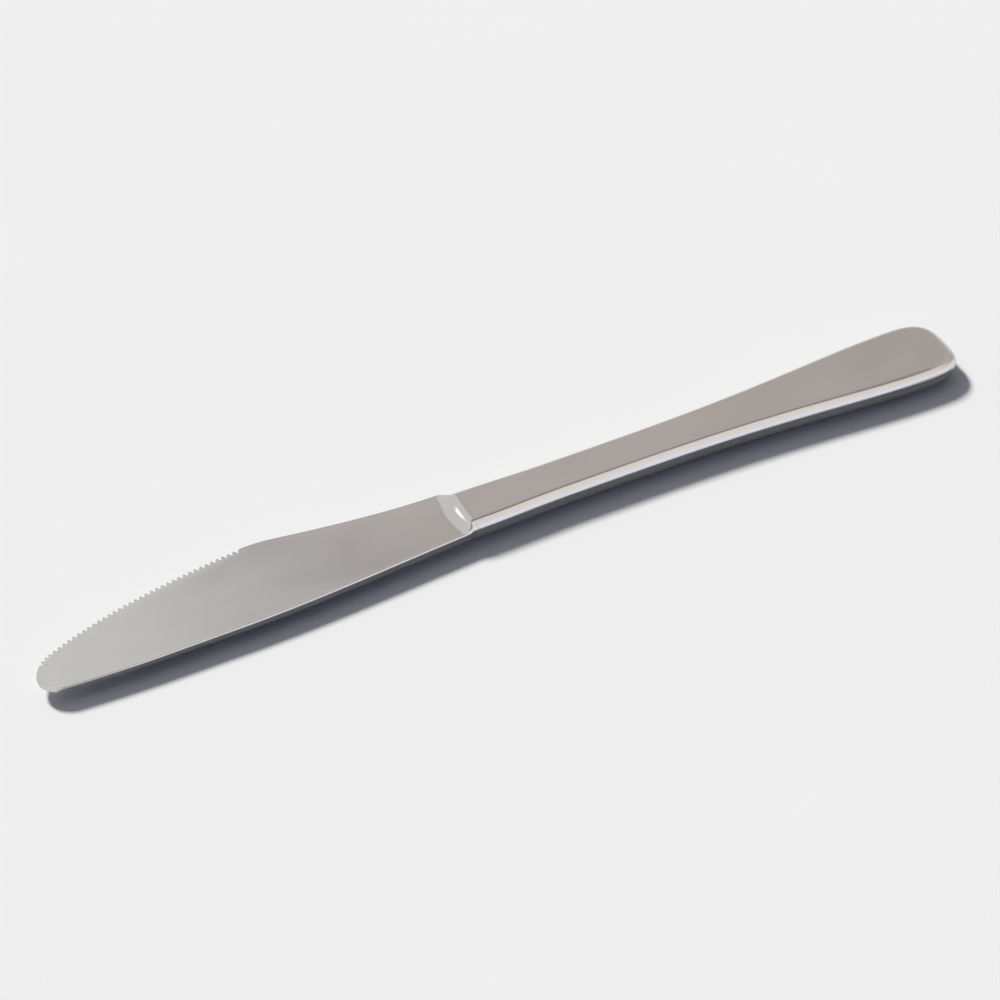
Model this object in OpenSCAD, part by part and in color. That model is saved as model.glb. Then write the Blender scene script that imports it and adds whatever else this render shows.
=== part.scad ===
// Dessert knife with a hollow handle, lying flat on its side.
// X runs from the tip to the butt, Y from the spine to the cutting edge, Z up.
// The origin is half-way along the knife, on its centre line, in the plane that it lies on.

/* [Overall] */
// Length from the tip to the butt
overall_length = 207; // [195:1:225]
// Thickness of the handle
handle_thickness = 5.2; // [4.8:0.1:6.4]

/* [Cutting edge] */
// Length of the blade from the tip to the handle's mouth
blade_length = 93.2; // [88:0.1:102]
// Reach of the edge from the centre line where the blade is widest
edge_reach = 12.1; // [10.5:0.1:14]
// Distance from the tip to the widest point
peak_distance = 51; // [46:0.5:58]
// Half of the length over which the widest point is rounded
peak_round = 5; // [3:0.5:9]
// Reach of the belly's line where it is carried on to the tip
belly_reach = -0.15; // [-1:0.05:2]
// Angle of the belly at the tip
belly_tip_angle = 26.3; // [20:0.1:30]
// Angle at which the belly runs into the widest point
belly_peak_angle = 6.9; // [5:0.1:12]
// Angle at which the plain edge leaves the widest point
heel_peak_angle = 9.5; // [6:0.1:14]
// Reach of the plain edge at the bolster
heel_reach = 7.95; // [6.5:0.05:9]
// Angle of the plain edge at the bolster
heel_angle = 1.3; // [0:0.1:8]

/* [Spine] */
// Reach of the spine from the centre line where the blade is widest
spine_reach = 9.1; // [8:0.05:10.5]
// Reach of the spine's line where it is carried on to the tip
spine_tip_reach = 8; // [7.5:0.05:9]
// Length over which the spine falls towards the tip
spine_fall_length = 25; // [8:0.5:30]
// Distance from the tip at which the spine begins to draw in
spine_straight_length = 40; // [32:0.5:50]
// Reach of the spine at the bolster
spine_heel_reach = 6.25; // [5.2:0.05:7]
// Angle of the spine at the bolster
spine_heel_angle = 3.8; // [0:0.1:8]

/* [Nose] */
// Length of the rounded nose
nose_length = 4.5; // [3:0.1:6]
// Distance of the foremost point from the centre line, towards the spine
nose_offset = 4.4; // [3:0.1:6]

/* [Blade section] */
// Thickness of the spine at the bolster
spine_thickness = 2; // [1.6:0.05:2.4]
// Thickness of the spine at the tip
tip_thickness = 1.3; // [1:0.05:1.6]
// Thickness of the cutting edge
edge_thickness = 0.3; // [0.2:0.02:0.5]
// Width of the ground bevel along the edge
grind_width = 1.8; // [1:0.1:3]
// Thickness of the blade behind the ground bevel
grind_thickness = 0.7; // [0.55:0.05:0.95]
// Chamfer along the spine's corners
spine_chamfer = 0.3; // [0.1:0.02:0.45]

/* [Serration] */
// Distance between teeth along the edge
tooth_pitch = 1.27; // [1:0.01:1.8]
// Width of each scallop at the edge
scallop_width = 0.78; // [0.7:0.01:1.2]
// Depth of the scallop between teeth
tooth_depth = 0.48; // [0.3:0.01:0.6]
// Angle of the scallops to the blade's face
tooth_tilt = 30; // [24:1:40]
// Distance from the tip to the first scallop
serration_start = 2.4; // [2:0.1:10]
// Distance from the tip to the last scallop
serration_end = 49; // [30:0.5:60]

/* [Bolster] */
// Length of the ramp between the blade and the handle's mouth
ramp_length = 3.8; // [2.5:0.1:6]
// How much later the ramp begins at the cutting edge than at the spine
ramp_lag = 1.2; // [0:0.1:2]

/* [Handle outline] */
// Width at the mouth
mouth_width = 11.7; // [10.7:0.1:12.5]
// Width at the neck
neck_width = 10.7; // [9.6:0.1:11.5]
// Distance from the mouth to the neck
neck_distance = 21; // [14:0.5:36]
// Width at the butt
butt_width = 17.1; // [14:0.1:21]
// Length of the rounded butt
butt_round = 10.4; // [8:0.1:13]
// How square the rounded butt is, with 2 for a plain ellipse
butt_squareness = 3.15; // [2:0.05:3.6]
// How late the handle widens, with 1 for an even curve
flare_bias = 1.85; // [1:0.05:2.2]

/* [Handle section] */
// Width of the bevel round the handle's flat faces
bevel_width = 1.5; // [1:0.05:1.9]
// Height of the bevel
bevel_drop = 1.5; // [1.1:0.05:1.8]
// Wall of the handle's shells
shell_wall = 0.8; // [0.6:0.02:1]

/* [Brazed joints] */
// Thickness of the braze between the shells and at the mouth
braze_gap = 0.1; // [0.06:0.01:0.2]

/* [Tang] */
// Length of the spigot in the handle's mouth
spigot_length = 2.5; // [1.5:0.1:5]
// Clearance between the spigot and the shells
spigot_clearance = 0.1; // [0.05:0.01:0.2]
// Length of the tang behind the spigot
tang_length = 46; // [30:1:60]
// Width of the tang at the spigot
tang_width = 5; // [4:0.1:6]
// Width of the tang at its end
tang_end_width = 3.6; // [3:0.1:4]
// Thickness of the tang
tang_thickness = 2.2; // [1.6:0.1:2.6]
// Radius of the notches that key the tang in its cement
notch_radius = 0.7; // [0.4:0.05:0.9]
// Distance between notches
notch_spacing = 9; // [6:0.5:12]
// Cement behind the end of the tang
cement_cover = 14; // [6:1:25]

/* [Hidden] */
$fn = 48;

// Steps of the curved surfaces
nose_steps = 10;
body_step = 2.8;
ramp_steps = 10;
mouth_steps = 5;
flare_steps = 24;
butt_steps = 14;
// How far a cutting solid runs past the face that it makes
overrun = 0.5;
// How far the tang's root runs into the spigot
tang_root = 1;
// Foremost station of the nose, just behind the point where its outline closes
nose_start = 0.02;

mid_height = handle_thickness / 2;
tip_x = -overall_length / 2;
mouth_x = tip_x + blade_length;
butt_x = overall_length / 2;
ramp_start = blade_length - ramp_length;
shell_x = mouth_x + braze_gap;
spigot_end_x = mouth_x + spigot_length;
cement_end_x = spigot_end_x + tang_length + cement_cover;
neck_x = mouth_x + neck_distance;
butt_wide_x = butt_x - butt_round;

bevel_angle = atan(bevel_drop / bevel_width);
flat_corner = tan(bevel_angle / 2);
side_corner = tan((90 - bevel_angle) / 2);

// Round scallop of one tooth, as wide as its chord at the edge
chord_depth = tooth_depth * sin(tooth_tilt);
scallop_radius = (pow(scallop_width / 2, 2) + pow(chord_depth, 2)) / (2 * chord_depth);
scallop_length = 2 * (grind_width + tooth_pitch);

// Knots of the outlines: distance from the tip, reach from the centre line, slope
peak_rise = peak_round * (tan(belly_peak_angle) + tan(heel_peak_angle)) / 4;
edge_knots = [
    [0, belly_reach, tan(belly_tip_angle)],
    [peak_distance - peak_round, edge_reach - peak_rise, tan(belly_peak_angle)],
    [peak_distance + peak_round, edge_reach - peak_rise, -tan(heel_peak_angle)],
    [ramp_start, heel_reach, -tan(heel_angle)],
];
spine_knots = [
    [0, -spine_tip_reach, -2 * (spine_reach - spine_tip_reach) / spine_fall_length],
    [spine_fall_length, -spine_reach, 0],
    [spine_straight_length, -spine_reach, 0],
    [ramp_start, -spine_heel_reach, tan(spine_heel_angle)],
];

function mix(a, b, t) = a + (b - a) * t;
function ease(t) = t * t * (3 - 2 * t);

// Half width of the handle along its length, from the mouth past the neck to the widest point
handle_line = concat(
    [for (i = [0:mouth_steps])
        let (t = i / mouth_steps)
        [mix(mouth_x, neck_x, t), mix(mouth_width, neck_width, ease(t)) / 2]],
    [for (i = [1:flare_steps])
        let (t = i / flare_steps)
        [mix(neck_x, butt_wide_x, t), mix(neck_width, butt_width, ease(pow(t, flare_bias))) / 2]]
);

// Cubic between two knots, and the curve through a list of knots
function cubic(a, b, u) =
    let (h = b[0] - a[0], t = (u - a[0]) / h, s = ease(t))
    mix(a[1], b[1], s) + h * t * (1 - t) * (a[2] * (1 - t) - b[2] * t);
function curve(knots, u, i = 0) =
    i == len(knots) - 2 || u <= knots[i + 1][0]
        ? cubic(knots[i], knots[i + 1], u)
        : curve(knots, u, i + 1);

// Share of the blade's full width at a distance from the tip: a quarter ellipse over the nose
function nose(u) = sqrt(1 - pow(1 - min(u / nose_length, 1), 2));
function edge_y(u) = mix(-nose_offset, curve(edge_knots, u), nose(u));
function spine_y(u) = mix(-nose_offset, curve(spine_knots, u), nose(u));
function edge_angle(u) =
    let (h = overrun / 10) atan((edge_y(u + h) - edge_y(u - h)) / (2 * h));

// Upper half of the blade's section: points as [y, height above the middle plane]
function blade_section(u) =
    let (
        share = nose(u),
        spine_t = mix(edge_thickness, mix(tip_thickness, spine_thickness, u / ramp_start), share),
        grind_t = mix(edge_thickness, grind_thickness, share),
        grind_y = edge_y(u) - grind_width * share,
        chamfer = spine_chamfer * share
    )
    [
        [spine_y(u), spine_t / 2 - chamfer],
        [spine_y(u) + chamfer, spine_t / 2],
        [grind_y, grind_t / 2],
        [edge_y(u), edge_thickness / 2],
    ];

// Upper half of the handle's section at a station, moved inwards by an inset
function handle_section(x, inset) =
    let (
        half = lookup(x, handle_line),
        flat_y = half - bevel_width - inset * flat_corner,
        side_z = mid_height - bevel_drop - inset * side_corner
    )
    [
        [-half + inset, side_z],
        [-flat_y, mid_height - inset],
        [flat_y, mid_height - inset],
        [half - inset, side_z],
    ];

// Upper half of the ramp's section: the blade's section eased into the handle's, point by point
function ramp_section(u) =
    let (
        from = blade_section(u),
        to = handle_section(mouth_x, 0),
        starts = [ramp_start, ramp_start, ramp_start + ramp_lag, ramp_start + ramp_lag]
    )
    [for (i = [0:len(from) - 1])
        let (t = max(0, (u - starts[i]) / (blade_length - starts[i])))
        mix(from[i], to[i], ease(t))];

// Ring of points at a station: the upper half of a section and its mirror image below the middle plane
function ring_at(x, top) =
    concat(
        [for (p = top) [x, p[0], mid_height + p[1]]],
        [for (i = [len(top) - 1:-1:0]) [x, top[i][0], mid_height - top[i][1]]]
    );

// Rings of the blade, the ramp and the spigot, from the tip to the spigot's end
function blade_rings() =
    let (body_steps = ceil((ramp_start - nose_length) / body_step))
    concat(
        [for (i = [0:nose_steps])
            let (u = max(nose_start, nose_length * (1 - cos(90 * i / nose_steps))))
            ring_at(tip_x + u, blade_section(u))],
        [for (i = [1:body_steps])
            let (u = mix(nose_length, ramp_start, i / body_steps))
            ring_at(tip_x + u, blade_section(u))],
        [for (i = [1:ramp_steps])
            let (u = mix(ramp_start, blade_length, i / ramp_steps))
            ring_at(tip_x + u, ramp_section(u))],
        [for (x = [mouth_x, spigot_end_x])
            ring_at(x, handle_section(mouth_x, shell_wall + spigot_clearance))]
    );

// Rings of the space inside the shells that the cement fills
function cement_rings() =
    let (between = [for (p = handle_line) if (p[0] > spigot_end_x && p[0] < cement_end_x) p[0]])
    [for (x = concat([spigot_end_x], between, [cement_end_x]))
        ring_at(x, handle_section(x, shell_wall))];

// Closed solid through a list of rings with the same number of points
module skin(rings) {
    n = len(rings[0]);
    m = len(rings);
    sides = [for (i = [0:m - 2], j = [0:n - 1])
        let (a = i * n + j, b = i * n + (j + 1) % n)
        each [[a, b, b + n], [a, b + n, a + n]]];
    caps = [[for (j = [n - 1:-1:0]) j], [for (j = [0:n - 1]) (m - 1) * n + j]];
    polyhedron([for (ring = rings) each ring], concat(sides, caps), convexity = 8);
}

// One side of the handle's outline, moved inwards by an inset, from in front of the mouth to the butt
function handle_side(inset, front) =
    concat(
        [[mouth_x - front, mouth_width / 2 - inset]],
        [for (p = handle_line) [p[0], p[1] - inset]],
        [for (i = [1:butt_steps])
            let (a = 90 * i / butt_steps)
            [
                butt_wide_x + (butt_round - inset) * pow(sin(a), 2 / butt_squareness),
                (butt_width / 2 - inset) * pow(cos(a), 2 / butt_squareness),
            ]]
    );

// Closed outline of the handle at a height
function handle_ring(inset, z, front) =
    let (side = handle_side(inset, front), last = len(side) - 1)
    concat(
        [for (p = side) [p[0], p[1], z]],
        [for (i = [last - 1:-1:0]) [side[i][0], -side[i][1], z]]
    );

// The handle's form, moved inwards by an inset, with its bevels run past its flat faces
module handle_form(inset, front) {
    side_z = bevel_drop + inset * side_corner;
    past_z = inset - overrun;
    past_inset = bevel_width + inset * flat_corner + overrun * bevel_width / bevel_drop;
    skin([
        handle_ring(past_inset, past_z, front),
        handle_ring(inset, side_z, front),
        handle_ring(inset, handle_thickness - side_z, front),
        handle_ring(past_inset, handle_thickness - past_z, front),
    ]);
}

// Slab across the knife between two stations and two heights
module slab(x0, x1, z0, z1) {
    width = butt_width + 2 * overrun;
    translate([x0, -width / 2, z0]) cube([x1 - x0, width, z1 - z0]);
}

// The space inside the shells, open at the mouth
module handle_space() {
    intersection() {
        handle_form(shell_wall, 2 * overrun);
        slab(mouth_x - 3 * overrun, butt_x, shell_wall, handle_thickness - shell_wall);
    }
}

// The part of the handle's wall between two stations and two heights
module handle_wall(x0, x1, z0, z1) {
    intersection() {
        difference() {
            handle_form(0, overrun);
            handle_space();
        }
        slab(x0, x1, z0, z1);
    }
}

// Flat tapered bar with pairs of notches, from the spigot into the handle
module tang() {
    notch_count = floor(tang_length / notch_spacing) - 1;
    translate([spigot_end_x, 0, mid_height - tang_thickness / 2])
        linear_extrude(tang_thickness)
            difference() {
                polygon([
                    [-tang_root, -tang_width / 2],
                    [0, -tang_width / 2],
                    [tang_length, -tang_end_width / 2],
                    [tang_length, tang_end_width / 2],
                    [0, tang_width / 2],
                    [-tang_root, tang_width / 2],
                ]);
                for (side = [-1, 1], i = [1:notch_count]) {
                    along = i * notch_spacing;
                    half = mix(tang_width, tang_end_width, along / tang_length) / 2;
                    translate([along, side * half]) circle(notch_radius);
                }
            }
}

// Distances from the tip of the scallops, one pitch apart along the edge
function tooth_places(u) =
    u > serration_end ? [] : concat([u], tooth_places(u + tooth_pitch * cos(edge_angle(u))));

// One round scallop, square to the edge and tilted to the upper face
module scallop(u) {
    translate([tip_x + u, edge_y(u), mid_height])
        rotate([0, 0, edge_angle(u)])
            translate([
                0,
                scallop_radius * sin(tooth_tilt) - tooth_depth,
                scallop_radius * cos(tooth_tilt) - edge_thickness / 2,
            ])
                rotate([90 - tooth_tilt, 0, 0])
                    cylinder(h = scallop_length, r = scallop_radius, center = true);
}

module blade() {
    color([0.72, 0.71, 0.69])
        difference() {
            union() {
                skin(blade_rings());
                tang();
            }
            for (u = tooth_places(serration_start)) scallop(u);
        }
}

module upper_shell() {
    color([0.66, 0.63, 0.60])
        handle_wall(shell_x, butt_x + overrun, mid_height + braze_gap / 2, handle_thickness);
}

module lower_shell() {
    color([0.62, 0.59, 0.56])
        handle_wall(shell_x, butt_x + overrun, 0, mid_height - braze_gap / 2);
}

module seam_braze() {
    color([0.58, 0.54, 0.46])
        handle_wall(shell_x, butt_x + overrun, mid_height - braze_gap / 2, mid_height + braze_gap / 2);
}

module mouth_braze() {
    color([0.58, 0.54, 0.46])
        handle_wall(mouth_x, shell_x, 0, handle_thickness);
}

module tang_cement() {
    color([0.56, 0.53, 0.48])
        difference() {
            skin(cement_rings());
            tang();
        }
}

blade();
upper_shell();
lower_shell();
seam_braze();
mouth_braze();
tang_cement();
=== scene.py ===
import math

import bpy
import numpy as np
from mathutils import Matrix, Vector


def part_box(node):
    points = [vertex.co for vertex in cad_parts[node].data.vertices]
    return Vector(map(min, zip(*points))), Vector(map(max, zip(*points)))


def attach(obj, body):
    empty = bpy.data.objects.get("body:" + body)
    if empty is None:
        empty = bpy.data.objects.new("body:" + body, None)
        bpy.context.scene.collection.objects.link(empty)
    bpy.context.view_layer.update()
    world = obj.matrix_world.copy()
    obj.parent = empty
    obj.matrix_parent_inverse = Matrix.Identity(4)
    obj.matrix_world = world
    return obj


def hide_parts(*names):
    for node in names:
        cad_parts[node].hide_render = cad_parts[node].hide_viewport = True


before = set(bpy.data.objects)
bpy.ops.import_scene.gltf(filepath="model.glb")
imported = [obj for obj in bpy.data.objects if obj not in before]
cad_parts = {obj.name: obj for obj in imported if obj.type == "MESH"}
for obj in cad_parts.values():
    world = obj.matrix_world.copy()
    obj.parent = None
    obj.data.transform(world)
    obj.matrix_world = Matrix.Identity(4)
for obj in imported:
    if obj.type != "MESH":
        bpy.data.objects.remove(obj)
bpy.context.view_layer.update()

# Sizes are in millimetres, and each mesh is turned into metres when it is made
MM = 0.001


def box_mm(node):
    """Lowest and highest corner of a solid, in millimetres."""
    return [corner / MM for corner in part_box(node)]


shell_low, shell_high = box_mm("upper_shell")
mouth_low, mouth_high = box_mm("mouth_braze")
seam_low, seam_high = box_mm("seam_braze")

# Main sizes, read from the solids
BUTT_X = shell_high.x
TIP_X = -BUTT_X
MOUTH_X = mouth_low.x
SHELL_X = mouth_high.x
BUTT_WIDTH = shell_high.y - shell_low.y
MOUTH_WIDTH = mouth_high.y - mouth_low.y
HALF_THICKNESS = shell_high.z / 2
SEAM_HALF = (seam_high.z - seam_low.z) / 2
BLADE_LENGTH = MOUTH_X - TIP_X

# Cutting edge
EDGE_REACH = 12.1
PEAK_DISTANCE = 51
PEAK_ROUND = 5
BELLY_REACH = -0.15
BELLY_TIP_SLOPE = math.tan(math.radians(26.3))
BELLY_PEAK_SLOPE = math.tan(math.radians(6.9))
HEEL_PEAK_SLOPE = math.tan(math.radians(9.5))
HEEL_REACH = 7.95
HEEL_SLOPE = math.tan(math.radians(1.3))

# Spine and nose
SPINE_REACH = 9.1
SPINE_TIP_REACH = 8
SPINE_FALL_LENGTH = 25
SPINE_STRAIGHT_LENGTH = 40
SPINE_HEEL_REACH = 6.25
SPINE_HEEL_SLOPE = math.tan(math.radians(3.8))
NOSE_LENGTH = 4.5
NOSE_OFFSET = 4.4
NOSE_START = 0.02

# Blade section
SPINE_THICKNESS = 2.0
TIP_THICKNESS = 1.3
EDGE_THICKNESS = 0.3
GRIND_WIDTH = 1.8
GRIND_THICKNESS = 0.7
SPINE_CHAMFER = 0.3
CHAMFER_ROUND = 0.35

# Sections of the blade stand square to the edge, but not at the tip and the bolster
TURN_START = 0.3
TURN_FULL = 2.0
TURN_BACK_LENGTH = 12
LEAST_TURN_COS = 0.5

# Serration
TOOTH_PITCH = 1.27
SCALLOP_WIDTH = 0.78
TOOTH_DEPTH = 0.48
TOOTH_TILT = math.radians(30)
SERRATION_START = 2.4
SERRATION_END = 49
SCALLOP_RUNOUT = 0.95
KEEN_THICKNESS = 0.04
# Share of grinding marks on the edge's bevel, with 1 in the scallops
BEVEL_GROUND = 0.5

# Bolster and tang
RAMP_LENGTH = 3.8
RAMP_START = BLADE_LENGTH - RAMP_LENGTH
TOE_LENGTH = 1.0
TOE_START = RAMP_START - TOE_LENGTH
EDGE_LAG = 1.7
EDGE_LAG_REACH = 8
SPINE_LAG = 0.026
SPINE_LAG_FROM = 0.3
SPIGOT_LENGTH = 2.5
SPIGOT_END_X = MOUTH_X + SPIGOT_LENGTH
SPIGOT_CLEARANCE = 0.1
TANG_LENGTH = 46
TANG_WIDTH = 5
TANG_END_WIDTH = 3.6
TANG_THICKNESS = 2.2
TANG_SIDE_START = 0.2
NOTCH_RADIUS = 0.7
NOTCH_SPACING = 9

# Handle
NECK_DISTANCE = 21
NECK_X = MOUTH_X + NECK_DISTANCE
NECK_WIDTH = 10.7
BUTT_ROUND = 10.4
BUTT_SQUARENESS = 3.15
BUTT_WIDE_X = BUTT_X - BUTT_ROUND
FLARE_BIAS = 1.85
BEVEL_WIDTH = 1.5
BEVEL_DROP = 1.5
BEVEL_BULGE = 0.05
SHELL_WALL = 0.8
CROWN = 0.04
SIDE_ROUND = 0.12
SIDE_ROUND_BUTT = 0.28
SIDE_SOFTENS_X = 82
CREASE_ROUND = 0.42
CREASE_ROUND_BUTT = 0.85
CREASE_SOFTENS_X = 60

# Mesh steps
CORNER_STEPS = 5
BEVEL_STEPS = 5
PROFILE_COUNT = 2 * (CORNER_STEPS + 1) + BEVEL_STEPS - 1
SHOULDER_STEPS = 5
FACE_STEPS = 18
WALL_STEPS = 3
NOSE_STEPS = 26
TOOTH_STEPS = 16
PLAIN_STEP = 0.7
RAMP_STEPS = 60
HANDLE_STEPS = 130
BUTT_STEPS = 44
NOTCH_STEPS = 10
SLOPE_STEP = 0.05
LENGTH_TABLE_STEPS = 20000
LENGTH_TABLE_PAST = 4
TINY = 1e-6
SHARP_ANGLE = math.radians(18)


# Curves of the outline
def mix(a, b, t):
    return a + (b - a) * t


def ease(t):
    return t * t * (3 - 2 * t)


def smooth(low, high, value):
    """Eased share of the way from low to high."""
    return ease(min(max((value - low) / (high - low), 0), 1))


PEAK_RISE = PEAK_ROUND * (BELLY_PEAK_SLOPE + HEEL_PEAK_SLOPE) / 4
EDGE_KNOTS = (
    (0, BELLY_REACH, BELLY_TIP_SLOPE),
    (PEAK_DISTANCE - PEAK_ROUND, EDGE_REACH - PEAK_RISE, BELLY_PEAK_SLOPE),
    (PEAK_DISTANCE + PEAK_ROUND, EDGE_REACH - PEAK_RISE, -HEEL_PEAK_SLOPE),
    (RAMP_START, HEEL_REACH, -HEEL_SLOPE),
)
SPINE_KNOTS = (
    (0, -SPINE_TIP_REACH, -2 * (SPINE_REACH - SPINE_TIP_REACH) / SPINE_FALL_LENGTH),
    (SPINE_FALL_LENGTH, -SPINE_REACH, 0),
    (SPINE_STRAIGHT_LENGTH, -SPINE_REACH, 0),
    (RAMP_START, -SPINE_HEEL_REACH, SPINE_HEEL_SLOPE),
)

# Rise of the bolster's ramp: share of its length, share of its height and slope
RAMP_RISE = (
    (0, 0, 0),
    (0.345, 0.039, 0.227),
    (0.62, 0.5, 3.1),
    (0.79, 0.96, 0.30),
    (1, 1, 0.10),
)


def curve(knots, u):
    """Cubic through knots of distance, reach and slope."""
    last = len(knots) - 2
    i = next((k for k in range(last) if u <= knots[k + 1][0]), last)
    (u0, y0, slope0), (u1, y1, slope1) = knots[i], knots[i + 1]
    length = u1 - u0
    t = (u - u0) / length
    return mix(y0, y1, ease(t)) + length * t * (1 - t) * (slope0 * (1 - t) - slope1 * t)


def nose(u):
    """Share of the blade's full width at a distance from the tip."""
    return math.sqrt(1 - (1 - min(u / NOSE_LENGTH, 1)) ** 2)


def edge_y(u):
    return mix(-NOSE_OFFSET, curve(EDGE_KNOTS, u), nose(u))


def spine_y(u):
    return mix(-NOSE_OFFSET, curve(SPINE_KNOTS, u), nose(u))


def edge_angle(u):
    step = min(SLOPE_STEP, u / 2)
    return math.atan2(edge_y(u + step) - edge_y(u - step), 2 * step)


def spine_half(u):
    """Half of the spine's thickness."""
    full = mix(TIP_THICKNESS, SPINE_THICKNESS, u / RAMP_START)
    return mix(EDGE_THICKNESS, full, nose(u)) / 2


def face_half(u, y):
    """Half of the blade's thickness at a place on its face."""
    share = nose(u)
    grind_half = mix(EDGE_THICKNESS, GRIND_THICKNESS, share) / 2
    face_start = spine_y(u) + SPINE_CHAMFER * share
    shoulder = edge_y(u) - GRIND_WIDTH * share
    if y <= shoulder:
        return mix(spine_half(u), grind_half, (y - face_start) / (shoulder - face_start))
    return mix(grind_half, EDGE_THICKNESS / 2, (y - shoulder) / (edge_y(u) - shoulder))


# Handle section: points as inset from the outline and height above the middle plane
BEVEL_ANGLE = math.atan2(BEVEL_DROP, BEVEL_WIDTH)
FLAT_CORNER = math.tan(BEVEL_ANGLE / 2)
SIDE_CORNER = math.tan((math.pi / 2 - BEVEL_ANGLE) / 2)
UP = np.array((0.0, 1.0))
INWARD = np.array((1.0, 0.0))
BEVEL_WAY = np.array((math.cos(BEVEL_ANGLE), math.sin(BEVEL_ANGLE)))
BEVEL_OUT = np.array((-math.sin(BEVEL_ANGLE), math.cos(BEVEL_ANGLE)))


def corner(place, way_in, way_out, length):
    """Rounded corner that starts and ends a length away from its place."""
    shares = [i / CORNER_STEPS for i in range(CORNER_STEPS + 1)]
    return [place - way_in * length * (1 - t) ** 2 + way_out * length * t * t for t in shares]


def bevel_profile(offset, side_round, crease, crown):
    """From the top of the side wall over the bevel to the start of the flat."""
    low = np.array((offset, HALF_THICKNESS - BEVEL_DROP - offset * SIDE_CORNER))
    high = np.array((BEVEL_WIDTH + offset * FLAT_CORNER, HALF_THICKNESS - crown - offset))
    first = corner(low, UP, BEVEL_WAY, side_round)
    last = corner(high, BEVEL_WAY, INWARD, crease)
    between = [i / BEVEL_STEPS for i in range(1, BEVEL_STEPS)]
    middle = [
        mix(first[-1], last[0], t) + BEVEL_OUT * BEVEL_BULGE * math.sin(math.pi * t) for t in between
    ]
    return first + middle + last


def profile_wear(offset):
    """Wear of the bevel's points: strongest in the middle of the two rounded corners."""
    if offset:
        return [0.0] * PROFILE_COUNT
    on_corner = [math.sin(math.pi * i / CORNER_STEPS) for i in range(CORNER_STEPS + 1)]
    return on_corner + [0.0] * (BEVEL_STEPS - 1) + on_corner


def handle_half(x):
    """Half of the handle's width, from the mouth past the neck to the widest point."""
    if x <= NECK_X:
        return mix(MOUTH_WIDTH, NECK_WIDTH, ease((x - MOUTH_X) / (NECK_X - MOUTH_X))) / 2
    t = (x - NECK_X) / (BUTT_WIDE_X - NECK_X)
    return mix(NECK_WIDTH, BUTT_WIDTH, ease(t ** FLARE_BIAS)) / 2


def corner_rounds(x):
    """The side corner and the crease along the flat are crisp at the neck and soft at the butt."""
    side = mix(SIDE_ROUND, SIDE_ROUND_BUTT, smooth(SIDE_SOFTENS_X, BUTT_X, x))
    return side, mix(CREASE_ROUND, CREASE_ROUND_BUTT, smooth(CREASE_SOFTENS_X, BUTT_X, x))


def outline(station, inset):
    """Place on the far side's outline: a distance along, an angle round the butt, or the butt's end."""
    kind, value = station
    if kind == "along":
        return value, handle_half(value) - inset
    if kind == "end":
        return value - inset, 0.0
    power = 2 / BUTT_SQUARENESS
    across = (BUTT_WIDTH / 2 - inset) * math.cos(value) ** power
    return BUTT_WIDE_X + (BUTT_ROUND - inset) * math.sin(value) ** power, across


ALONG = [("along", mix(SHELL_X, BUTT_WIDE_X, i / HANDLE_STEPS)) for i in range(HANDLE_STEPS + 1)]
ROUND = [("round", math.pi / 2 * i / BUTT_STEPS) for i in range(1, BUTT_STEPS)]
BUTT_END = ("end", BUTT_X)
STATIONS = ALONG + ROUND + [BUTT_END]


# Meshes
class Surface:
    """Points and faces of one closed mesh, welded where points meet."""

    WELD_DIGITS = 5

    def __init__(self):
        self.known = {}
        self.points = []
        self.wear = []
        self.ground = []
        self.faces = []

    def point(self, x, y, height, wear=0.0, ground=0.0):
        """Number of a point at a height above the middle plane."""
        place = (x, y, height)
        key = tuple(round(c, self.WELD_DIGITS) + 0.0 for c in place)
        if key not in self.known:
            self.known[key] = len(self.points)
            self.points.append(place)
            self.wear.append(wear)
            self.ground.append(ground)
        return self.known[key]

    def face(self, *corners):
        kept = [c for i, c in enumerate(corners) if c != corners[i - 1]]
        if len(set(kept)) == len(kept) > 2:
            self.faces.append(kept)

    def strip(self, first, second, closed=False):
        """Faces between two lines of points."""
        for i in range(0 if closed else 1, len(first)):
            self.face(first[i - 1], first[i], second[i], second[i - 1])

    def loft(self, rings):
        """Faces between closed rings."""
        for first, second in zip(rings, rings[1:]):
            self.strip(first, second, closed=True)

    def piece(self, name, node, material):
        """The finished object, which stands for a solid of the frame."""
        mesh = bpy.data.meshes.new(name)
        places = [(x * MM, y * MM, (z + HALF_THICKNESS) * MM) for x, y, z in self.points]
        mesh.from_pydata(places, [], self.faces)
        for label, values in (("wear", self.wear), ("ground", self.ground)):
            layer = mesh.attributes.new(label, "FLOAT", "POINT")
            layer.data.foreach_set("value", values)
        if signed_volume(places, self.faces) < 0:
            mesh.flip_normals()
        mesh.shade_smooth()
        mesh.set_sharp_from_angle(angle=SHARP_ANGLE)
        mesh.materials.append(material)
        made = bpy.data.objects.new(name, mesh)
        bpy.context.scene.collection.objects.link(made)
        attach(made, "root")
        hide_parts(node)


def signed_volume(places, faces):
    """Volume of a closed mesh, below zero where its faces look inwards."""
    points = np.array(places)
    triangles = np.array([(f[0], f[i], f[i + 1]) for f in faces for i in range(1, len(f) - 1)])
    a, b, c = (points[triangles[:, i]] for i in range(3))
    return float(np.einsum("ij,ij->i", a, np.cross(b, c)).sum()) / 6


# Blade
CHORD_DEPTH = TOOTH_DEPTH * math.sin(TOOTH_TILT)
SCALLOP_RADIUS = ((SCALLOP_WIDTH / 2) ** 2 + CHORD_DEPTH ** 2) / (2 * CHORD_DEPTH)
GRIND_SLOPE = (GRIND_THICKNESS - EDGE_THICKNESS) / (2 * GRIND_WIDTH)
TILT_SLOPE = math.tan(TOOTH_TILT)


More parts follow.
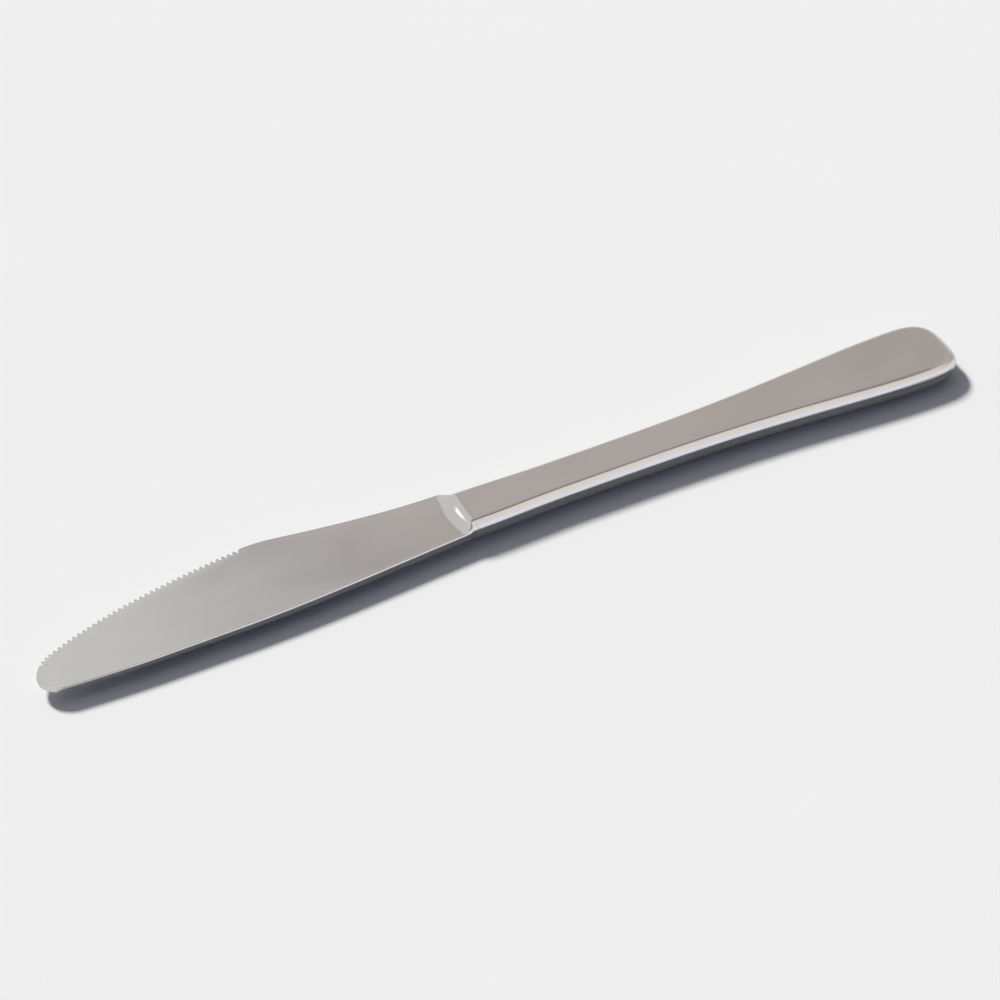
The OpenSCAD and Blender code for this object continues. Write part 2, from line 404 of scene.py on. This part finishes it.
def square_to_edge(u):
    """Direction across the edge, turned gradually into the blade's width at both ends."""
    turned_back = smooth(RAMP_START - TURN_BACK_LENGTH, RAMP_START, u)
    share = smooth(TURN_START, TURN_FULL, u) * (1 - turned_back)
    angle = edge_angle(u) * share
    return angle, -math.sin(angle), math.cos(angle)


def blade_ring(u, along=None):
    """Upper and lower line of the blade's section from spine to edge.

    along is the distance along the edge to the nearest scallop's middle, if one is near.
    Each point is a distance from the tip, a reach, a height, its wear and its ground share.
    """
    share = nose(u)
    chamfer = SPINE_CHAMFER * share
    upper = []
    for i in range(PROFILE_COUNT):
        t = i / (PROFILE_COUNT - 1)
        turn = math.pi / 2 * t
        inwards = mix(t, 1 - math.cos(turn), CHAMFER_ROUND)
        rise = mix(1 - t, 1 - math.sin(turn), CHAMFER_ROUND)
        upper.append((u, spine_y(u) + chamfer * inwards, spine_half(u) - chamfer * rise, 1.0, 0.0))
    lower = [(a, b, -c, d, e) for a, b, c, d, e in upper]

    angle, across_u, across_y = square_to_edge(u)
    slope = GRIND_SLOPE / max(math.cos(angle), LEAST_TURN_COS)
    floor_rise = None
    keen = 0.0
    groove = -EDGE_THICKNESS
    if along is not None:
        sag = SCALLOP_RADIUS - math.sqrt(max(SCALLOP_RADIUS ** 2 - along ** 2, 0))
        floor_rise = sag / math.cos(TOOTH_TILT) - TILT_SLOPE * TOOTH_DEPTH
        keen = min(0.0, (floor_rise - KEEN_THICKNESS) / (TILT_SLOPE + slope))
        groove = min((floor_rise - EDGE_THICKNESS) / (TILT_SLOPE - slope), keen - KEEN_THICKNESS)
    shoulder = -GRIND_WIDTH * share * math.cos(angle)
    first = min(shoulder, groove - KEEN_THICKNESS)

    def on_face(place_u, place_y, n=None):
        half = face_half(place_u, place_y)
        top = half
        if floor_rise is not None and n is not None:
            top = min(half, floor_rise - EDGE_THICKNESS / 2 - TILT_SLOPE * n)
        cut = 1.0 if top < half - TINY else 0.0
        wear = 1.0 if n is not None and n > keen - TINY else 0.0
        ground = 0.0 if n is None else max(cut, BEVEL_GROUND if n > shoulder else 0.0)
        upper.append((place_u, place_y, top, wear, ground))
        lower.append((place_u, place_y, -half, wear, 0.0))

    first_u = u + across_u * first
    first_y = edge_y(u) + across_y * first
    for i in range(1, FACE_STEPS):
        t = i / FACE_STEPS
        on_face(mix(u, first_u, t), mix(spine_y(u) + chamfer, first_y, t))
    for i in range(PROFILE_COUNT):
        if i <= SHOULDER_STEPS:
            n = mix(first, groove, i / SHOULDER_STEPS)
        else:
            n = mix(groove, keen, (i - SHOULDER_STEPS) / (PROFILE_COUNT - 1 - SHOULDER_STEPS))
        on_face(u + across_u * n, edge_y(u) + across_y * n, n)
    return upper, lower


def mouth_ring(offset):
    """Upper line of the handle's section at its mouth, with as many points as the blade's."""
    half = MOUTH_WIDTH / 2
    profile = bevel_profile(offset, SIDE_ROUND, CREASE_ROUND, CROWN)
    wear = profile_wear(offset)
    flat = half - profile[-1][0]
    near = [(inset - half, z, w) for (inset, z), w in zip(profile, wear)]
    far = [(-y, z, w) for y, z, w in reversed(near)]
    top = []
    for i in range(1, FACE_STEPS):
        y = mix(-flat, flat, i / FACE_STEPS)
        top.append((y, profile[-1][1] + CROWN * (1 - (y / flat) ** 2), 0.0))
    return near + top + far


def ramp_lag(y):
    """How much later the ramp begins towards the edge and the spine than in the middle."""
    towards_spine = min(y - SPINE_LAG_FROM, 0)
    return EDGE_LAG * smooth(0, EDGE_LAG_REACH, y) + SPINE_LAG * towards_spine ** 2


def ramp_point(u, blade_point, mouth_point):
    """Point of the ramp, which has a gentle toe, a steep rise and a soft crest."""
    _, blade_y, blade_z, blade_wear, ground = blade_point
    mouth_y, mouth_z, mouth_wear = mouth_point
    start = TOE_START + ramp_lag(blade_y)
    t = curve(RAMP_RISE, min(max((u - start) / (BLADE_LENGTH - start), 0), 1))
    wear = mix(blade_wear, mouth_wear, t)
    return u, mix(blade_y, mouth_y, t), mix(blade_z, mouth_z, t), wear, mix(ground, 0.0, t)


def tang_ring(width):
    """Upper line of the tang's section, with as many points as the blade's."""
    half = width / 2
    top = TANG_THICKNESS / 2
    shares = [mix(TANG_SIDE_START, 1, i / (PROFILE_COUNT - 1)) for i in range(PROFILE_COUNT)]
    rise = [(-half, top * share, 0.0) for share in shares]
    across = [(mix(-half, half, i / FACE_STEPS), top, 0.0) for i in range(1, FACE_STEPS)]
    return rise + across + [(-y, z, w) for y, z, w in reversed(rise)]


def scallop_places():
    """Distances from the tip of the scallops, one pitch apart along the edge."""
    places = [SERRATION_START]
    while places[-1] <= SERRATION_END:
        places.append(places[-1] + TOOTH_PITCH * math.cos(edge_angle(places[-1])))
    return places[:-1]


def blade_stations():
    """Distances from the tip of the blade's rings, each with its distance to a scallop."""
    table_u = np.linspace(NOSE_START, SERRATION_END + LENGTH_TABLE_PAST, LENGTH_TABLE_STEPS)
    table_y = np.array([edge_y(u) for u in table_u])
    lengths = np.concatenate(([0], np.cumsum(np.hypot(np.diff(table_u), np.diff(table_y)))))
    teeth = np.interp(scallop_places(), table_u, lengths)
    cusps = list((teeth[1:] + teeth[:-1]) / 2)
    starts = [teeth[0] - SCALLOP_RUNOUT] + cusps
    ends = cusps + [teeth[-1] + SCALLOP_RUNOUT]
    cut = []
    for tooth, start, end in zip(teeth, starts, ends):
        for i in range(TOOTH_STEPS):
            length = mix(start, end, i / TOOTH_STEPS)
            cut.append((float(np.interp(length, lengths, table_u)), abs(length - tooth)))
    first = cut[0][0]
    last = float(np.interp(ends[-1], lengths, table_u))
    front = [(mix(NOSE_START, first, (i / NOSE_STEPS) ** 2), None) for i in range(NOSE_STEPS)]
    plain_count = math.ceil((TOE_START - last) / PLAIN_STEP)
    plain = [(mix(last, TOE_START, i / plain_count), None) for i in range(plain_count + 1)]
    return front + cut + plain


def make_blade(material):
    """Blade, bolster, spigot and notched tang in one piece."""
    surface = Surface()

    def ring(upper, lower):
        numbers = [surface.point(TIP_X + u, y, z, w, g) for u, y, z, w, g in upper]
        return numbers + [surface.point(TIP_X + u, y, z, w, g) for u, y, z, w, g in reversed(lower)]

    def plain_ring(x, line):
        upper = [(x - TIP_X, y, z, w, 0.0) for y, z, w in line]
        return ring(upper, [(u, y, -z, w, g) for u, y, z, w, g in upper])

    rings = [ring(*blade_ring(u, along)) for u, along in blade_stations()]
    mouth = mouth_ring(0.0)
    for i in range(1, RAMP_STEPS + 1):
        u = mix(TOE_START, BLADE_LENGTH, i / RAMP_STEPS)
        upper = [ramp_point(u, *pair) for pair in zip(blade_ring(u)[0], mouth)]
        rings.append(ring(upper, [(a, b, -c, d, e) for a, b, c, d, e in upper]))
    spigot = mouth_ring(SHELL_WALL + SPIGOT_CLEARANCE)
    rings.append(plain_ring(MOUTH_X, spigot))
    rings.append(plain_ring(SPIGOT_END_X, spigot))
    for along, width in tang_stations():
        rings.append(plain_ring(SPIGOT_END_X + along, tang_ring(width)))
    surface.loft(rings)
    tip = rings[0][::-1]
    half = len(tip) // 2
    surface.strip(tip[:half], tip[:half - 1:-1])
    surface.face(*rings[-1])
    surface.piece("blade_forged", "blade", material)


def tang_stations():
    """Distances behind the spigot, each with the tang's width there."""
    stations = [(0.0, TANG_WIDTH)]
    for k in range(1, int(TANG_LENGTH // NOTCH_SPACING)):
        for i in range(NOTCH_STEPS + 1):
            turn = math.pi * i / NOTCH_STEPS
            along = k * NOTCH_SPACING - NOTCH_RADIUS * math.cos(turn)
            width = mix(TANG_WIDTH, TANG_END_WIDTH, along / TANG_LENGTH)
            stations.append((along, width - 2 * NOTCH_RADIUS * math.sin(turn)))
    return stations + [(TANG_LENGTH, TANG_END_WIDTH)]


# Handle
def shell_line(surface, station, offset, crown, side):
    """Line of a shell's outer or inner face across the handle, from one seam to the other."""
    place_x = outline(station, 0.0)[0]
    profile = bevel_profile(offset, *corner_rounds(place_x), crown)
    wear = profile_wear(offset)
    wall_top = profile[0][1]
    wall = [(offset, mix(SEAM_HALF, wall_top, i / WALL_STEPS)) for i in range(WALL_STEPS)]
    profile = wall + profile
    wear = [0.0] * WALL_STEPS + wear
    near = []
    far = []
    for (inset, z), w in zip(profile, wear):
        x, y = outline(station, inset)
        near.append(surface.point(x, -y, side * z, w))
        far.append(surface.point(x, y, side * z, w))
    flat_inset, flat_height = profile[-1]
    flat_x, flat = outline(station, flat_inset)
    top = []
    for i in range(1, FACE_STEPS):
        if station is BUTT_END:
            top.append(near[-1])
        else:
            t = mix(-1, 1, i / FACE_STEPS)
            rise = crown * (1 - t * t)
            top.append(surface.point(flat_x, t * flat, side * (flat_height + rise)))
    return near + top + far[::-1]


def make_shell(name, node, side, crown, material):
    """One pressed half of the handle: side is 1 for the upper half and -1 for the lower one."""
    surface = Surface()
    rings = []
    for station in STATIONS:
        outer = shell_line(surface, station, 0.0, crown, side)
        inner = shell_line(surface, station, SHELL_WALL, 0.0, side)
        rings.append((outer, inner))
    surface.loft([outer + inner[::-1] for outer, inner in rings])
    mouth_outer, mouth_inner = rings[0]
    surface.strip(mouth_inner, mouth_outer)
    surface.piece(name, node, material)


def make_seam(material):
    """Ribbon of braze between the two shells, round the side of the handle."""
    surface = Surface()
    section = ((0.0, -SEAM_HALF), (0.0, SEAM_HALF), (SHELL_WALL, SEAM_HALF), (SHELL_WALL, -SEAM_HALF))
    path = []
    for mirror, stations in ((-1, STATIONS), (1, STATIONS[-2::-1])):
        for station in stations:
            path.append([(outline(station, inset), mirror, z) for inset, z in section])
    rings = [[surface.point(x, mirror * y, z) for (x, y), mirror, z in ring] for ring in path]
    surface.loft(rings)
    surface.face(*rings[0][::-1])
    surface.face(*rings[-1])
    surface.piece("braze_seam", "seam_braze", material)


def make_mouth(material):
    """Ring of braze between the bolster's shoulder and the shells."""
    surface = Surface()

    def loop(x, offset):
        upper = mouth_ring(offset)
        numbers = [surface.point(x, y, z, w) for y, z, w in upper]
        return numbers + [surface.point(x, y, -z, w) for y, z, w in reversed(upper)]

    corners = ((MOUTH_X, 0.0), (SHELL_X, 0.0), (SHELL_X, SHELL_WALL), (MOUTH_X, SHELL_WALL))
    rings = [loop(x, offset) for x, offset in corners]
    surface.loft(rings + rings[:1])
    surface.piece("braze_mouth", "mouth_braze", material)


# Materials: each noise has its scales per millimetre and its detail, and bumps are in millimetres
NOISE_RANGE = (0.3, 0.7)
SMUDGE_NOISE = ((0.045, 0.07, 0.07), 4.0)
LINE_NOISE = ((0.05, 5.0, 5.0), 4.0)
LINE_DARK = 0.12
LINE_ROUGH = 0.03
FINE_NOISE = ((0.4, 26.0, 26.0), 2.0)
FINE_HEIGHT = 0.35
SCRATCHES = (
    ((0.012, 0.8, 0.8), math.radians(2)),
    ((0.015, 0.5, 0.5), math.radians(-13)),
)
SCRATCH_WIDTH = 0.02
SCRATCH_BREAK_NOISE = ((0.16, 0.4, 0.4), 2.0)
SCRATCH_BREAK_RANGE = (0.55, 0.68)
SCRATCH_ROUGH = 0.07
SCRATCH_DEPTH = 0.35
GROUND_ROUGH = 0.06
WORN_SHARE = 0.6
WORN_GAIN = 1.12
WORN_MOST = 0.9
STEEL_BUMP = 0.35
STEEL_BUMP_DEPTH = 0.004
BLADE_LIGHT = (0.60, 0.595, 0.585)
BLADE_DEEP = (0.56, 0.555, 0.545)
BLADE_ROUGH = (0.12, 0.17)
HANDLE_LIGHT = (0.60, 0.588, 0.572)
HANDLE_DEEP = (0.56, 0.548, 0.532)
HANDLE_ROUGH = (0.12, 0.18)
BRAZE_NOISE = ((3.0, 3.0, 3.0), 4.0)
BRAZE_DARK = (0.44, 0.41, 0.36, 1)
BRAZE_LIGHT = (0.60, 0.56, 0.50, 1)
BRAZE_ROUGH = (0.3, 0.42)
BRAZE_BUMP = 0.3
BRAZE_BUMP_DEPTH = 0.02
CEMENT_NOISE = ((1.8, 1.8, 1.8), 6.0)
CEMENT_DARK = (0.46, 0.43, 0.38, 1)
CEMENT_LIGHT = (0.64, 0.61, 0.55, 1)
CEMENT_ROUGH = (0.75, 0.95)
CEMENT_BUMP = 0.8
CEMENT_BUMP_DEPTH = 0.2
PIT_NOISE = ((0.9, 0.9, 0.9), 2.0)
PIT_RANGE = (0.32, 0.42)
# Painted shade: how much of a dark tone is mixed into the cement's pits, and that tone
PIT_SHADE_SHARE = 0.5
PIT_SHADE_TONE = (0.30, 0.28, 0.25, 1)


class Nodes:
    """A node tree with short ways to add and join nodes."""

    def __init__(self, owner):
        owner.use_nodes = True
        self.tree = owner.node_tree
        self.tree.nodes.clear()

    def add(self, kind, settings=None, **inputs):
        """New node with settings, and its input sockets set or joined."""
        node = self.tree.nodes.new(kind)
        for key, value in (settings or {}).items():
            setattr(node, key, value)
        for key, value in inputs.items():
            self.join(node.inputs[key.replace("_", " ")], value)
        return node

    def join(self, socket, value):
        if isinstance(value, bpy.types.NodeSocket):
            self.tree.links.new(value, socket)
        else:
            socket.default_value = value

    def place(self, scale, turn=0.0):
        """Place in the frame times a scale per millimetre along each axis, turned about Z."""
        where = self.add("ShaderNodeTexCoord").outputs["Object"]
        mapping = self.add(
            "ShaderNodeMapping",
            Vector=where,
            Rotation=(0.0, 0.0, turn),
            Scale=[s / MM for s in scale],
        )
        return mapping.outputs["Vector"]

    def noise(self, scale, detail, turn=0.0):
        place = self.place(scale, turn)
        return self.add("ShaderNodeTexNoise", Vector=place, Scale=1.0, Detail=detail).outputs["Fac"]

    def remap(self, value, source, target=(0.0, 1.0)):
        """Value eased from one pair of limits to another."""
        node = self.add("ShaderNodeMapRange", {"interpolation_type": "SMOOTHSTEP"}, Value=value)
        for key, number in zip(("From Min", "From Max", "To Min", "To Max"), (*source, *target)):
            node.inputs[key].default_value = number
        return node.outputs["Result"]

    def operate(self, kind, operation, values):
        node = self.add(kind, {"operation": operation})
        for socket, value in zip(node.inputs, values):
            self.join(socket, value)
        return node.outputs["Value"]

    def math(self, operation, *values):
        return self.operate("ShaderNodeMath", operation, values)

    def dot(self, *vectors):
        return self.operate("ShaderNodeVectorMath", "DOT_PRODUCT", vectors)

    def blend(self, share, first, second):
        """Colour between two colours."""
        node = self.add("ShaderNodeMix", {"data_type": "RGBA"})
        self.join(node.inputs["Factor"], share)
        colours = [s for s in node.inputs if s.type == "RGBA"]
        self.join(colours[0], first)
        self.join(colours[1], second)
        return next(s for s in node.outputs if s.type == "RGBA")

    def attribute(self, name):
        return self.add("ShaderNodeAttribute", {"attribute_name": name}).outputs["Fac"]

    def surface(self, tone, rough, metallic, height, strength, depth):
        """Surface of a material, with a bump of a depth in millimetres."""
        bump = self.add("ShaderNodeBump", Height=height, Strength=strength, Distance=depth * MM)
        shader = self.add(
            "ShaderNodeBsdfPrincipled",
            Base_Color=tone,
            Metallic=metallic,
            Roughness=rough,
            Normal=bump.outputs["Normal"],
        )
        self.add("ShaderNodeOutputMaterial", Surface=shader.outputs["BSDF"])


def scratches(nodes, scale, turn):
    """Thin broken lines: 1 on a scratch and 0 beside it."""
    cells = nodes.add(
        "ShaderNodeTexVoronoi",
        {"feature": "DISTANCE_TO_EDGE"},
        Vector=nodes.place(scale, turn),
        Scale=1.0,
    ).outputs["Distance"]
    line = nodes.remap(cells, (0.0, SCRATCH_WIDTH), (1.0, 0.0))
    broken = nodes.remap(nodes.noise(*SCRATCH_BREAK_NOISE, turn), SCRATCH_BREAK_RANGE)
    return nodes.math("MULTIPLY", line, broken)


def make_steel(name, light, deep, rough_range):
    """Polished stainless steel with polishing lines, fine scratches, smudges and worn corners."""
    material = bpy.data.materials.new(name)
    nodes = Nodes(material)
    smudge = nodes.noise(*SMUDGE_NOISE)
    lines = nodes.noise(*LINE_NOISE)
    fine = nodes.noise(*FINE_NOISE)
    on_line = nodes.remap(lines, NOISE_RANGE)
    marks = nodes.math("MAXIMUM", *[scratches(nodes, scale, turn) for scale, turn in SCRATCHES])
    wear = nodes.attribute("wear")
    ground = nodes.attribute("ground")
    worn = [min(c * WORN_GAIN, WORN_MOST) for c in light]
    tone = nodes.blend(nodes.remap(smudge, NOISE_RANGE), (*deep, 1), (*light, 1))
    tone = nodes.blend(nodes.math("MULTIPLY", on_line, LINE_DARK), tone, (*deep, 1))
    tone = nodes.blend(nodes.math("MULTIPLY", wear, WORN_SHARE), tone, (*worn, 1))
    rough = nodes.remap(smudge, NOISE_RANGE, rough_range)
    for share, added in ((on_line, LINE_ROUGH), (marks, SCRATCH_ROUGH), (ground, GROUND_ROUGH)):
        rough = nodes.math("MULTIPLY_ADD", share, added, rough)
    height = nodes.math("MULTIPLY_ADD", fine, FINE_HEIGHT, lines)
    height = nodes.math("MULTIPLY_ADD", marks, -SCRATCH_DEPTH, height)
    nodes.surface(tone, rough, 1.0, height, STEEL_BUMP, STEEL_BUMP_DEPTH)
    return material


def make_braze():
    """Brazing metal ground flush: a little warmer and duller than the steel."""
    material = bpy.data.materials.new("braze_metal")
    nodes = Nodes(material)
    grain = nodes.noise(*BRAZE_NOISE)
    tone = nodes.blend(grain, BRAZE_DARK, BRAZE_LIGHT)
    rough = nodes.remap(grain, NOISE_RANGE, BRAZE_ROUGH)
    nodes.surface(tone, rough, 1.0, grain, BRAZE_BUMP, BRAZE_BUMP_DEPTH)
    return material


def make_cement():
    """Set cement, matte and grainy, with small pits, whose colour is darkened as painted shade in their
    hollows.
    """
    material = bpy.data.materials.new("set_cement")
    nodes = Nodes(material)
    grain = nodes.noise(*CEMENT_NOISE)
    pits = nodes.remap(nodes.noise(*PIT_NOISE), PIT_RANGE, (1.0, 0.0))
    tone = nodes.blend(grain, CEMENT_DARK, CEMENT_LIGHT)
    # Painted shade: the pits' colour is darkened towards a dark tone, standing for the shade in their
    # hollows
    tone = nodes.blend(nodes.math("MULTIPLY", pits, PIT_SHADE_SHARE), tone, PIT_SHADE_TONE)
    rough = nodes.remap(grain, NOISE_RANGE, CEMENT_ROUGH)
    height = nodes.math("SUBTRACT", grain, pits)
    nodes.surface(tone, rough, 0.0, height, CEMENT_BUMP, CEMENT_BUMP_DEPTH)
    return material


# Pieces
blade_steel = make_steel("blade_steel", BLADE_LIGHT, BLADE_DEEP, BLADE_ROUGH)
handle_steel = make_steel("handle_steel", HANDLE_LIGHT, HANDLE_DEEP, HANDLE_ROUGH)
braze = make_braze()
make_blade(blade_steel)
make_shell("shell_upper", "upper_shell", 1, CROWN, handle_steel)
make_shell("shell_lower", "lower_shell", -1, 0.0, handle_steel)
make_seam(braze)
make_mouth(braze)
cement_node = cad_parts["tang_cement"]
cement_node.data.materials.clear()
cement_node.data.materials.append(make_cement())


# Floor
FLOOR_SIZE = 6.0
FLOOR_NOISE = ((0.02, 0.02, 0.02), 2.0)
FLOOR_TONE = (0.87, 0.87, 0.87, 1)
FLOOR_PALE = (0.88, 0.88, 0.88, 1)


def make_floor():
    """Plain pale floor under the knife."""
    half = FLOOR_SIZE / 2
    corners = [(-half, -half, 0), (half, -half, 0), (half, half, 0), (-half, half, 0)]
    mesh = bpy.data.meshes.new("floor")
    mesh.from_pydata(corners, [], [(0, 1, 2, 3)])
    material = bpy.data.materials.new("pale_floor")
    nodes = Nodes(material)
    tone = nodes.blend(nodes.noise(*FLOOR_NOISE), FLOOR_TONE, FLOOR_PALE)
    shader = nodes.add("ShaderNodeBsdfDiffuse", Color=tone)
    nodes.add("ShaderNodeOutputMaterial", Surface=shader.outputs["BSDF"])
    mesh.materials.append(material)
    floor = bpy.data.objects.new("floor", mesh)
    bpy.context.scene.collection.objects.link(floor)


make_floor()


# Light: tones of the room, and two values of a direction's X, Y, Z or rise between which each sets in
WALL_RIGHT = (0.64, 0.58, 0.55, 1)
WALL_MIDDLE = (0.73, 0.67, 0.66, 1)
WALL_MIDDLE_X = (0.41, 0.35)
WALL_SHADE = (0.55, 0.53, 0.515, 1)
WALL_SHADE_X = (0.325, 0.295)
WALL_LEFT = (0.95, 0.94, 0.93, 1)
WALL_LEFT_X = (0.272, 0.248)
WALL_FAR_LEFT = (0.92, 0.89, 0.91, 1)
WALL_FAR_LEFT_X = (0.20, 0.05)
HORIZON = (0.86, 0.86, 0.86, 1)
HORIZON_Z = (0.12, 0.04)
FRONT = (0.46, 0.455, 0.46, 1)
FRONT_Y = (0.24, 0.08)
FRONT_LEFT = (0.86, 0.86, 0.87, 1)
FRONT_LEFT_X = (-0.10, -0.30)
WINDOW_X = (0.15, 0.20)
WINDOW_FOOT = (0.42, 0.42, 0.45, 1)
WINDOW_LOW = (1.34, 1.36, 1.66, 1)
WINDOW_LOW_RISE = (-0.37, -0.28)
WINDOW_MIDDLE = (1.15, 1.16, 1.28, 1)
WINDOW_MIDDLE_RISE = (-0.20, -0.10)
WINDOW_HIGH = (1.18, 1.13, 1.06, 1)
WINDOW_HIGH_RISE = (-0.04, 0.06)
WINDOW_TOP_RISE = (0.30, 0.48)
CEILING_Z = (0.80, 0.92)
CEILING_LEFT = (0.52, 0.515, 0.51, 1)
CEILING_RIGHT = (0.36, 0.35, 0.34, 1)
CEILING_RIGHT_X = (0.12, 0.26)
CEILING_END_X = (0.455, 0.53)
CEILING_PANEL = (0.80, 0.79, 0.78, 1)
CEILING_PANEL_Z = (0.965, 0.985)
LAMP = (2.3, 2.3, 2.3, 1)
LAMP_WAY = Vector((-0.765, 0.637, 0.09)).normalized()
LAMP_ALONG = Vector((0.57, 0.72, -0.39))
LAMP_ACROSS = LAMP_WAY.cross(LAMP_ALONG).normalized()
LAMP_SIDE = (math.sin(math.radians(8)), math.sin(math.radians(2.5)))
LAMP_END = (math.cos(math.radians(12)), math.cos(math.radians(1)))
SKY_BACK = (0.36, 0.36, 0.36, 1)
SKY_FRONT = (0.05, 0.06, 0.10, 1)
SKY_FRONT_Y = (0.2, -0.1)
KEY_WAY = Vector((-0.15, 0.80, 0.58))
KEY_STRENGTH = 4.2
KEY_COLOUR = (1.0, 0.993, 0.967)
KEY_ANGLE = math.radians(10)


def layered(nodes, base, *layers):
    """Colour of a base under layers, each of which sets in between two values of a coordinate."""
    tone = base
    for value, limits, colour in layers:
        tone = nodes.blend(nodes.remap(value, limits), tone, colour)
    return tone


def make_world():
    """Soft room that the steel mirrors, and a dim sky that leaves the shadow to the key.

    The room has grey walls, lighter on the left, a dim ceiling with a pale panel overhead, a band
    of window at the front right and one slim lamp. What a matte surface gathers is the sky.
    A direction's rise is the sum of its Y and Z.
    """
    world = bpy.data.worlds.new("room")
    bpy.context.scene.world = world
    nodes = Nodes(world)
    way = nodes.add("ShaderNodeTexCoord").outputs["Generated"]
    part = nodes.add("ShaderNodeSeparateXYZ", Vector=way)
    x, y, z = (part.outputs[axis] for axis in "XYZ")
    rise = nodes.math("ADD", y, z)
    walls = layered(
        nodes,
        WALL_RIGHT,
        (x, WALL_MIDDLE_X, WALL_MIDDLE),
        (x, WALL_SHADE_X, WALL_SHADE),
        (x, WALL_LEFT_X, WALL_LEFT),
        (x, WALL_FAR_LEFT_X, WALL_FAR_LEFT),
    )
    above = layered(nodes, CEILING_RIGHT, (x, CEILING_END_X, WALL_RIGHT))
    window = layered(
        nodes,
        WINDOW_FOOT,
        (rise, WINDOW_LOW_RISE, WINDOW_LOW),
        (rise, WINDOW_MIDDLE_RISE, WINDOW_MIDDLE),
        (rise, WINDOW_HIGH_RISE, WINDOW_HIGH),
        (rise, WINDOW_TOP_RISE, above),
    )
    front = layered(nodes, FRONT, (x, FRONT_LEFT_X, FRONT_LEFT), (x, WINDOW_X, window))
    ceiling = layered(
        nodes,
        CEILING_LEFT,
        (x, CEILING_RIGHT_X, CEILING_RIGHT),
        (x, CEILING_END_X, WALL_RIGHT),
    )
    room = layered(
        nodes,
        walls,
        (z, HORIZON_Z, HORIZON),
        (y, FRONT_Y, front),
        (z, CEILING_Z, ceiling),
        (z, CEILING_PANEL_Z, CEILING_PANEL),
    )
    beside = nodes.math("ABSOLUTE", nodes.dot(way, LAMP_ACROSS))
    strip = layered(nodes, room, (beside, LAMP_SIDE, LAMP))
    room = layered(nodes, room, (nodes.dot(way, LAMP_WAY), LAMP_END, strip))
    sky = layered(nodes, SKY_BACK, (y, SKY_FRONT_Y, SKY_FRONT))
    path = nodes.add("ShaderNodeLightPath")
    from_matte = nodes.math("MAXIMUM", path.outputs["Is Diffuse Ray"], path.outputs["Diffuse Depth"])
    tone = nodes.blend(from_matte, room, sky)
    background = nodes.add("ShaderNodeBackground", Color=tone, Strength=1.0)
    nodes.add("ShaderNodeOutputWorld", Surface=background.outputs["Background"])


def add_key():
    """Soft key from behind, which lights the floor and lays the shadow in front of the knife."""
    light = bpy.data.lights.new("key", "SUN")
    light.energy = KEY_STRENGTH
    light.color = KEY_COLOUR
    light.angle = KEY_ANGLE
    key = bpy.data.objects.new("key", light)
    key.rotation_mode = "QUATERNION"
    key.rotation_quaternion = KEY_WAY.to_track_quat("Z", "Y")
    key.visible_glossy = False
    bpy.context.scene.collection.objects.link(key)


make_world()
add_key()

# Camera
VIEW_AZIMUTH = math.radians(-27.9)
VIEW_ELEVATION = math.radians(42)
VIEW_DISTANCE = 0.7
VIEW_CENTRE = Vector((-0.00045, 0.0, 0.0))
LENS = 125.5
SENSOR = 36.0
SHIFT_X = -0.0085
SHIFT_Y = 0.0101

camera_data = bpy.data.cameras.new("camera")
camera_data.sensor_width = SENSOR
camera_data.lens = LENS
camera_data.shift_x = SHIFT_X
camera_data.shift_y = SHIFT_Y
camera = bpy.data.objects.new("camera", camera_data)
back = Vector((
    math.sin(VIEW_AZIMUTH) * math.cos(VIEW_ELEVATION),
    -math.cos(VIEW_AZIMUTH) * math.cos(VIEW_ELEVATION),
    math.sin(VIEW_ELEVATION),
))
camera.location = VIEW_CENTRE + back * VIEW_DISTANCE
camera.rotation_mode = "QUATERNION"
camera.rotation_quaternion = back.to_track_quat("Z", "Y")
bpy.context.scene.collection.objects.link(camera)
bpy.context.scene.camera = camera
bpy.context.scene.view_settings.view_transform = "Standard"
